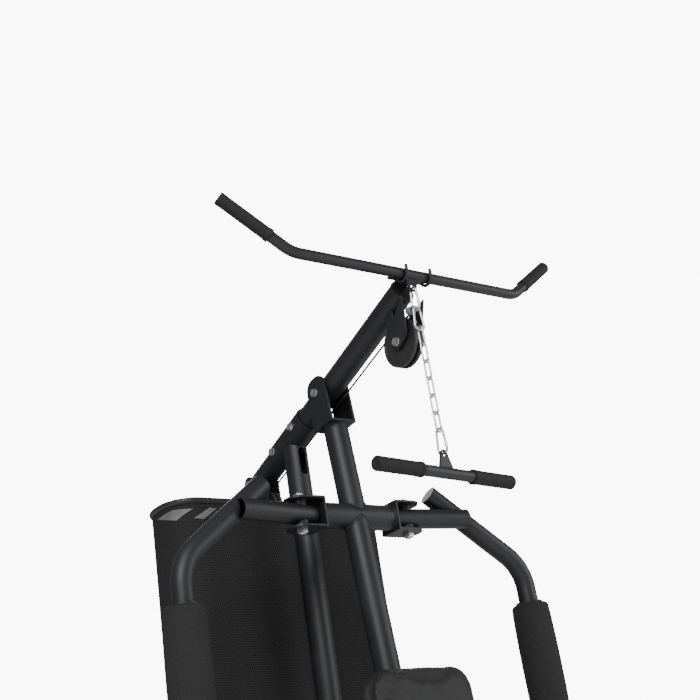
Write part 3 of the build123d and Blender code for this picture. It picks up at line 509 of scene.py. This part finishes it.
def tubeAlong(bm, points, radius, closed=False):
    # round wire through points, on a smooth line
    curve = bpy.data.curves.new("wire", "CURVE")
    curve.dimensions = "3D"
    curve.bevel_depth = radius
    curve.bevel_resolution = 4
    curve.use_fill_caps = not closed
    line = curve.splines.new("NURBS")
    line.points.add(len(points) - 1)
    for point, place in zip(line.points, points):
        point.co = (*place, 1)
    line.order_u = 4
    line.use_cyclic_u = closed
    line.use_endpoint_u = not closed
    line.resolution_u = 6
    piece = bpy.data.objects.new("wire", curve)
    bpy.context.scene.collection.objects.link(piece)
    shape = bpy.data.meshes.new_from_object(piece.evaluated_get(bpy.context.evaluated_depsgraph_get()))
    bm.from_mesh(shape)
    bpy.data.objects.remove(piece)
    bpy.data.meshes.remove(shape)


def makeHook(name, points, body, values=hookValues):
    low = Vector(min(point[axis] for point in points) for axis in range(3))
    high = Vector(max(point[axis] for point in points) for axis in range(3))
    middle = (low + high) / 2
    level = Vector((middle.x, middle.y, 0))
    spread = max(points, key=lambda point: (Vector((point.x, point.y, 0)) - level).length)
    across = Vector((spread.x - middle.x, spread.y - middle.y, 0)).normalized()
    half = (high.z - low.z) / 2 - values["wire"]

    def at(out, up):
        return middle + across * out + Vector((0, 0, up))

    bm = bmesh.new()
    broad, narrow = values["broad"], values["narrow"]
    # the right side from the top down, then the left side back up
    outline = [(narrow * 0.62, half * 1.06), (narrow * 1.15, half * 0.80), (narrow * 1.2, half * 0.45),
               (broad * 1.03, -half * 0.30), (broad * 1.15, -half * 0.82), (broad * 0.60, -half * 1.06)]
    outline = [(-outline[0][0], outline[0][1])] + outline + [(-out, up) for out, up in outline[:0:-1]]
    tubeAlong(bm, [at(*place) for place in outline], values["wire"], closed=True)
    side = across.cross(Vector((0, 0, 1)))
    for share in (values["gateFrom"], values["gateTo"]):
        height = half - 2 * half * share
        out = narrow * 1.08 + (broad - narrow) * share * 0.9
        steps = (values["noseHalf"], 0.0007, -0.0007, -values["noseHalf"])
        tubeAlong(bm, [at(out, height + step) for step in steps], values["nose"])
        centre = at(out, height)
        steps = (-values["pinHalf"], -0.001, 0.001, values["pinHalf"])
        tubeAlong(bm, [centre + side * step for step in steps], values["pin"])
    bmesh.ops.recalc_face_normals(bm, faces=bm.faces)
    return show(name, bm, "zinc", body)


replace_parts(makeHook("upperSnapHook", pointsOf("upper_carabiner"), "lat_bar"), "upper_carabiner")
points = pointsOf("chain_carabiners")
height = sum(point.z for point in points) / len(points)
makeHook("middleSnapHook", [point for point in points if point.z > height], "pull_chain")
lowerHook = makeHook("lowerSnapHook", [point for point in points if point.z < height], "pull_chain")
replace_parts(lowerHook, "chain_carabiners")
print("snap hooks made")


# foam sleeves and rollers
foamValues = {"swell": 0.0025, "round": 0.009, "dish": 0.002, "rings": 18,
              "armBore": 0.0243, "axleBore": 0.0102}


def makeFoam(name, points, bore, body, values=foamValues):
    middle, way, half, radius = lineThrough(points)
    outer = radius - values["swell"]
    corner = [pi / 2 * number / 7 for number in range(8)]
    profile = [(bore, -half + values["dish"])]
    for turn in corner:
        profile.append((outer - values["round"] * (1 - sin(turn)), -half + values["round"] * (1 - cos(turn))))
    for number in range(1, values["rings"]):
        share = number / values["rings"]
        along = (-1 + 2 * share) * (half - values["round"])
        profile.append((outer + values["swell"] * sin(pi * share) ** 0.6, along))
    for turn in corner:
        profile.append((outer - values["round"] * (1 - cos(turn)), half - values["round"] * (1 - sin(turn))))
    profile += [(bore, half - values["dish"]), (bore, -half + values["dish"])]
    piece = show(name, turned(profile, middle, way, 64), "foam", body)
    return piece


for side, word in ((-1, "Left"), (1, "Right")):
    points = pointsOf("arm_pad_" + word.lower())
    piece = makeFoam("armFoam" + word, points, foamValues["armBore"], "pad_" + word.lower())
    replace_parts(piece, "arm_pad_" + word.lower())
    for node, label in (("upper_rollers", "upperFoam"), ("lower_rollers", "lowerFoam")):
        piece = makeFoam(label + word, halfOf(node, side), foamValues["axleBore"], node)
        if side < 0:
            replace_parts(piece, node)
print("foam made")


# cable: the run over the two wheels with its front end at the stop ball, and the upright run to the weights
cableValues = {"slices": 24, "frontSlices": 8, "frontRun": 0.046, "ballEnd": 0.003}


def sliced(bm, start, end, count):
    # cuts square to the line from start to end, so that the piece can bend there
    for number in range(1, count):
        bmesh.ops.bisect_plane(bm, geom=bm.verts[:] + bm.edges[:] + bm.faces[:],
                               plane_co=start.lerp(end, number / count), plane_no=end - start)
    return bm


low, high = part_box("lat_cable")
frontEnd = Vector((0, low[1] + cableValues["ballEnd"], 0))
frontStart = frontEnd + Vector((0, cableValues["frontRun"], 0))
cable = sliced(copyOf("lat_cable"), frontStart, frontEnd, cableValues["frontSlices"])
cable = show("pulleyCable", cable, "cable_black")
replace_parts(cable, "lat_cable")
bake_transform(cable)
low, high = (Vector(corner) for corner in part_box("stack_cable"))
riser = sliced(copyOf("stack_cable"), low, Vector((*low[:2], high[2])), cableValues["slices"])
riser = show("stackCable", riser, "cable_black")
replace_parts(riser, "stack_cable")
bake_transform(riser)
print("cables made")


# upholstered pads
leanAngle = radians(5.27)        # the upper post, the backrest and the saddle lean back together
seatValues = {"voxel": 0.006, "shrink": 0.004, "pressure": 4.0, "cap": 0.011, "flat": 0.006,
              "seam": 0.040, "cord": 0.0018, "cordHalf": 0.0030, "stitch": 0.0055}
backValues = {**seatValues, "voxel": 0.0065, "cap": 0.010, "seam": 0.036}


def finished(piece):
    # the shape with its modifiers, as a plain mesh
    shape = bpy.data.meshes.new_from_object(piece.evaluated_get(bpy.context.evaluated_depsgraph_get()))
    piece.modifiers.clear()
    old = piece.data
    piece.data = shape
    bpy.data.meshes.remove(old)
    return piece


def makePad(name, node, outward, values):
    # outward points from the board to the sitter; the board side stays flat
    bm = copyOf(node)
    depth = [vertex.co.dot(outward) for vertex in bm.verts]
    base, top = min(depth), max(depth)
    middle = sum((vertex.co for vertex in bm.verts), Vector()) / len(bm.verts)
    middle = middle + outward * (base - middle.dot(outward))
    for vertex in bm.verts:
        away = vertex.co - middle
        flat = away - outward * away.dot(outward)
        share = away.dot(outward) / (top - base)
        vertex.co -= flat.normalized() * values["shrink"] + outward * values["shrink"] * share
    pad = show(name, bm, "upholstery")
    remesh = pad.modifiers.new("voxels", "REMESH")
    remesh.mode = "VOXEL"
    remesh.voxel_size = values["voxel"]
    finished(pad)
    rest = [vertex.co.copy() for vertex in pad.data.vertices]
    held = pad.vertex_groups.new(name="held")
    board = [i for i, point in enumerate(rest) if point.dot(outward) < base + values["flat"]]
    held.add(board, 1.0, "REPLACE")
    cloth = pad.modifiers.new("cloth", "CLOTH")
    cloth.settings.use_pressure = True
    cloth.settings.uniform_pressure_force = values["pressure"]
    cloth.settings.effector_weights.gravity = 0
    cloth.settings.vertex_group_mass = "held"
    cloth.settings.quality = 4
    cloth.collision_settings.use_collision = False
    for step in range(1, 21):
        bpy.context.scene.frame_set(step)
    finished(pad)
    bpy.context.scene.frame_set(1)
    pad.vertex_groups.clear()
    for vertex, point in zip(pad.data.vertices, rest):
        move = vertex.co - point
        if move.length > values["cap"]:
            vertex.co = point + move.normalized() * values["cap"]
    smooth = pad.modifiers.new("smooth", "SUBSURF")
    smooth.levels = smooth.render_levels = 1
    finished(pad)
    cordHalf, stitch = values["cordHalf"], values["stitch"]
    for vertex, normal in zip(pad.data.vertices, [vertex.normal.copy() for vertex in pad.data.vertices]):
        # sewn-in cord all round the side, between two tight seams
        sideways = 1 - abs(normal.dot(outward))
        off = abs(vertex.co.dot(outward) - base - values["seam"])
        if off < cordHalf:
            vertex.co += normal * values["cord"] * sideways * cos(off / cordHalf * pi / 2)
        elif off < cordHalf + stitch:
            vertex.co -= normal * values["cord"] * 0.9 * sideways * sin((off - cordHalf) / stitch * pi)
    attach(pad, "frame")
    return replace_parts(pad, node)


seat = makePad("seatCushion", "seat_pad", Vector((0, 0, 1)), seatValues)
backWay = Vector((0, -cos(leanAngle), sin(leanAngle)))
back = makePad("backCushion", "backrest_pad", backWay, backValues)
for polygon in [*seat.data.polygons, *back.data.polygons]:
    polygon.use_smooth = True
print("pads made")


# weld beads where the tubes meet
weldValues = {"bead": 0.0028, "ripple": 0.0005, "points": 72, "saddleUp": 0.233}


def makeWeld(name, middle, way, radius, body, across=0.0, values=weldValues):
    # a ring round a tube; across is the radius of the level tube that it stands on, 0 for a flat plate
    turn = way.to_track_quat("Z", "Y").to_matrix()
    curve = bpy.data.curves.new(name, "CURVE")
    curve.dimensions = "3D"
    curve.bevel_depth = values["bead"]
    curve.bevel_resolution = 2
    line = curve.splines.new("POLY")
    line.points.add(values["points"] - 1)
    line.use_cyclic_u = True
    for number, point in enumerate(line.points):
        angle = 2 * pi * number / values["points"]
        ring = turn @ Vector((cos(angle), sin(angle), 0)) * radius
        drop = 0.0
        if across:
            # down or up the tube's own axis to the surface of the level tube
            reach = across + values["bead"] * 0.3
            rise = (max(reach * reach - min(abs(ring.y), across) ** 2, 0.0)) ** 0.5
            drop = rise / abs(way.z)
        place = middle + ring + way * drop
        point.co = (*place, 1)
        point.radius = 1 + values["ripple"] / values["bead"] * sin(number * 2 * pi / 3)
    piece = bpy.data.objects.new(name, curve)
    bpy.context.scene.collection.objects.link(piece)
    shape = bpy.data.meshes.new_from_object(piece.evaluated_get(bpy.context.evaluated_depsgraph_get()))
    bpy.data.objects.remove(piece)
    bm = bmesh.new()
    bm.from_mesh(shape)
    return show(name, bm, "frame_black", body)


beam = [Vector(corner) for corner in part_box("crossbeam")]
beamMiddle = (beam[0] + beam[1]) / 2
tubeRadius = (beam[1].z - beam[0].z) / 2
upWay = Vector((0, sin(leanAngle), cos(leanAngle)))
makeWeld("postWeldUpper", beamMiddle, upWay, tubeRadius, "frame", tubeRadius)
makeWeld("postWeldLower", beamMiddle, -upWay, tubeRadius, "frame", tubeRadius)
for side, word in ((-1, "Left"), (1, "Right")):
    edge = Vector((side * (beam[1].x - beamMiddle.x), beamMiddle.y, beamMiddle.z))
    makeWeld("clevisWeld" + word, edge, Vector((side, 0, 0)), tubeRadius, "frame")
makeWeld("saddleWeld", beamMiddle + upWay * weldValues["saddleUp"], upWay, tubeRadius, "frame")
print("welds made")


# two plain strips sewn round the cover's front corner
tapeValues = {"strips": (((-0.316, 0.515, 1.716), (-0.302, 0.459, 1.724),
                          (-0.262, 0.430, 1.720), (-0.298, 0.454, 1.696)),
                         ((-0.264, 0.430, 1.696), (-0.221, 0.426, 1.723),
                          (-0.201, 0.426, 1.721), (-0.241, 0.426, 1.693))),
              "stand": 0.0008, "behind": 0.55}


def makeStrips(values):
    for number, corners in enumerate(values["strips"]):
        corners = [Vector(corner) for corner in corners]
        centre = sum(corners, Vector()) / 4
        outwards = (corners[1] - corners[0]).cross(corners[3] - corners[0]).normalized()
        if outwards.y > 0:
            outwards = -outwards
        bm = copyOf("stack_cover")
        # only the cover's outer wall near its front corner is kept
        spare = [face for face in bm.faces if face.normal.dot(outwards) < 0.2
                 or face.calc_center_median().y > values["behind"] or abs(face.normal.z) > 0.5]
        bmesh.ops.delete(bm, geom=spare, context="FACES")
        for first, second in zip(corners, corners[1:] + corners[:1]):
            side = (second - first).cross(outwards)
            if (centre - first).dot(side) > 0:
                side = -side
            bmesh.ops.bisect_plane(bm, geom=bm.verts[:] + bm.edges[:] + bm.faces[:],
                                   plane_co=first, plane_no=side, clear_outer=True)
        for vertex in bm.verts:
            vertex.co += vertex.normal * values["stand"]
        show("coverStrip%d" % (number + 1), bm, "tape", "frame")


makeStrips(tapeValues)
print("cover strips made")


# floor and light
lightValues = {"sky": 0.24, "backdrop": 12.0, "floorGlow": 0.30, "aim": (0, 0, 1.3),
               "lamps": (("key", (-2.6, -2.6, 3.6), 2.2, 150),
                         ("fill", (3.0, -2.4, 2.2), 2.4, 60),
                         ("rim", (1.6, 2.8, 3.4), 1.8, 45))}


def makeStudio(values):
    bm = bmesh.new()
    bmesh.ops.create_grid(bm, x_segments=1, y_segments=1, size=14)
    floor = show("floor", bm, "tape")
    paint = Finish("paleFloor", Roughness=0.7, Emission_Color=(1, 1, 1, 1),
                   Emission_Strength=values["floorGlow"])
    paint.link(paint.mix(paint.noise(3, 3.0), (0.86, 0.86, 0.86, 1), (0.90, 0.90, 0.90, 1)), "Base Color")
    floor.data.materials[0] = paint.material
    world = bpy.data.worlds.new("studio")
    world.use_nodes = True
    tree = world.node_tree
    sky = tree.nodes["Background"]
    sky.inputs["Color"].default_value = (1, 1, 1, 1)
    sky.inputs["Strength"].default_value = values["sky"]
    backdrop = tree.nodes.new("ShaderNodeBackground")
    backdrop.inputs["Strength"].default_value = values["backdrop"]
    rays = tree.nodes.new("ShaderNodeLightPath")
    either = tree.nodes.new("ShaderNodeMixShader")
    tree.links.new(rays.outputs["Is Camera Ray"], either.inputs[0])
    tree.links.new(sky.outputs[0], either.inputs[1])
    tree.links.new(backdrop.outputs[0], either.inputs[2])
    tree.links.new(either.outputs[0], tree.nodes["World Output"].inputs[0])
    bpy.context.scene.world = world
    for name, place, size, power in values["lamps"]:
        data = bpy.data.lights.new(name, "AREA")
        data.size = size
        data.energy = power
        lamp = bpy.data.objects.new(name, data)
        bpy.context.scene.collection.objects.link(lamp)
        lamp.location = place
        lamp.rotation_euler = (Vector(values["aim"]) - Vector(place)).to_track_quat("-Z", "Y").to_euler()


makeStudio(lightValues)
print("studio made")
